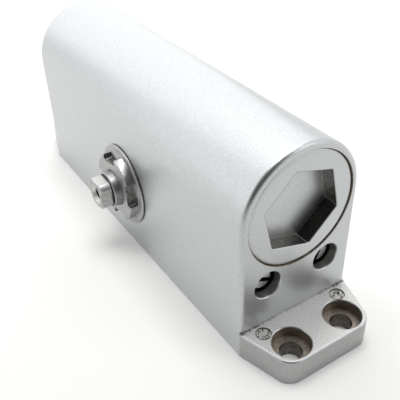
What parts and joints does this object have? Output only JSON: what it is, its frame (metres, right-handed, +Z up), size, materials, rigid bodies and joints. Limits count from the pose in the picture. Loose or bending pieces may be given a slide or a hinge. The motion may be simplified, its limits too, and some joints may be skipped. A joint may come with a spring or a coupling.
{
  "type": "sliding door closer",
  "caption": "Surface-mounted rack-and-pinion door closer body with a half-round crown, end feet, hexagon-socket end plugs, speed valves and a square-ended spindle.",
  "frame": {"origin": "middle of the flat mounting base, below the middle of the body, on the spindle's axis seen from above", "axes": "+X along the body to the end with the speed valves, -Y out along the spindle end that the picture shows, +Z up from the mounting base to the crown"},
  "size_m": [0.17, 0.062, 0.065],
  "materials": {
    "silver_paint": "die-cast, silver metallic paint, satin",
    "nickel_steel": "turned and nickel-plated",
    "valve_steel": "turned, zinc-plated",
    "zinc_steel": "zinc-plated",
    "bearing_steel": "hardened and ground",
    "cage_plastic": "moulded polyamide",
    "piston_iron": "ground outside, machined rack",
    "ring_plastic": "filled PTFE",
    "spring_wire": "oiled spring wire",
    "seal_rubber": "moulded nitrile rubber"
  },
  "bodies": {
    "closer_body": {"housing": "silver_paint", "valve_end_plug": "silver_paint", "valve_plug_seal": "seal_rubber", "spring_end_plug": "silver_paint", "spring_plug_seal": "seal_rubber", "spring_seat": "zinc_steel", "front_gland": "nickel_steel", "rear_gland": "nickel_steel", "front_gland_seal": "seal_rubber", "rear_gland_seal": "seal_rubber", "front_shaft_seal": "seal_rubber", "rear_shaft_seal": "seal_rubber", "front_bearing_shell": "bearing_steel", "rear_bearing_shell": "bearing_steel", "front_thrust_washer": "zinc_steel", "rear_thrust_washer": "zinc_steel", "main_spring": "spring_wire", "inner_spring": "spring_wire", "passage_plugs": "zinc_steel"},
    "piston_assembly": {"piston": "piston_iron", "piston_ring": "ring_plastic", "guide_ring": "ring_plastic", "check_retainer": "zinc_steel", "relief_screw": "zinc_steel", "relief_spring": "spring_wire"},
    "pinion_spindle": {"spindle": "nickel_steel"},
    "front_bearing_cage": {"front_needle_cage": "cage_plastic", "front_needles": "bearing_steel"},
    "rear_bearing_cage": {"rear_needle_cage": "cage_plastic", "rear_needles": "bearing_steel"},
    "one_way_ball": {"check_ball": "bearing_steel"},
    "pressure_relief_ball": {"relief_ball": "bearing_steel"},
    "closing_valve_packing": {"closing_valve_seal": "seal_rubber"},
    "closing_valve_screw": {"closing_speed_valve": "valve_steel"},
    "latch_valve_packing": {"latch_valve_seal": "seal_rubber"},
    "latch_valve_screw": {"latch_speed_valve": "valve_steel"}
  },
  "joints": [
    {"name": "piston_slide", "type": "slide", "parent": "closer_body", "child": "piston_assembly", "axis": [-1, 0, 0], "range_m": [0, 0.0245], "stiffness_N_per_m": 40800, "springref_m": -0.02, "deforming": ["main_spring", "inner_spring"]},
    {"name": "spindle_turn", "type": "hinge", "parent": "closer_body", "child": "pinion_spindle", "pos_m": [0, 0, 0.023], "axis": [0, -1, 0], "range_deg": [0, 180]},
    {"name": "front_cage_turn", "type": "hinge", "parent": "closer_body", "child": "front_bearing_cage", "pos_m": [0, 0, 0.023], "axis": [0, -1, 0], "range_deg": [0, 79.2]},
    {"name": "rear_cage_turn", "type": "hinge", "parent": "closer_body", "child": "rear_bearing_cage", "pos_m": [0, 0, 0.023], "axis": [0, -1, 0], "range_deg": [0, 79.2]},
    {"name": "check_ball_lift", "type": "slide", "parent": "piston_assembly", "child": "one_way_ball", "axis": [1, 0, 0], "range_m": [0, 0.001]},
    {"name": "relief_ball_lift", "type": "slide", "parent": "piston_assembly", "child": "pressure_relief_ball", "axis": [-1, 0, 0], "range_m": [0, 0.0008], "stiffness_N_per_m": 19900, "springref_m": -0.001, "deforming": ["relief_spring"]},
    {"name": "closing_valve_travel", "type": "slide", "parent": "closer_body", "child": "closing_valve_packing", "axis": [1, 0, 0], "range_m": [-0.00075, 0.00075]},
    {"name": "closing_valve_turn", "type": "hinge", "parent": "closing_valve_packing", "child": "closing_valve_screw", "pos_m": [0.0654, -0.0105, 0.0234], "axis": [1, 0, 0], "range_deg": [-360, 360]},
    {"name": "latch_valve_travel", "type": "slide", "parent": "closer_body", "child": "latch_valve_packing", "axis": [1, 0, 0], "range_m": [-0.00075, 0.00075]},
    {"name": "latch_valve_turn", "type": "hinge", "parent": "latch_valve_packing", "child": "latch_valve_screw", "pos_m": [0.0654, 0.0105, 0.0234], "axis": [1, 0, 0], "range_deg": [-360, 360]}
  ],
  "couplings": [
    {"joint": "spindle_turn", "follows": "piston_slide", "rad_per_m": 128.21},
    {"joint": "front_cage_turn", "follows": "piston_slide", "rad_per_m": 56.17},
    {"joint": "rear_cage_turn", "follows": "piston_slide", "rad_per_m": 56.17},
    {"joint": "closing_valve_turn", "follows": "closing_valve_travel", "rad_per_m": 8377.5},
    {"joint": "latch_valve_turn", "follows": "latch_valve_travel", "rad_per_m": 8377.5}
  ]
}
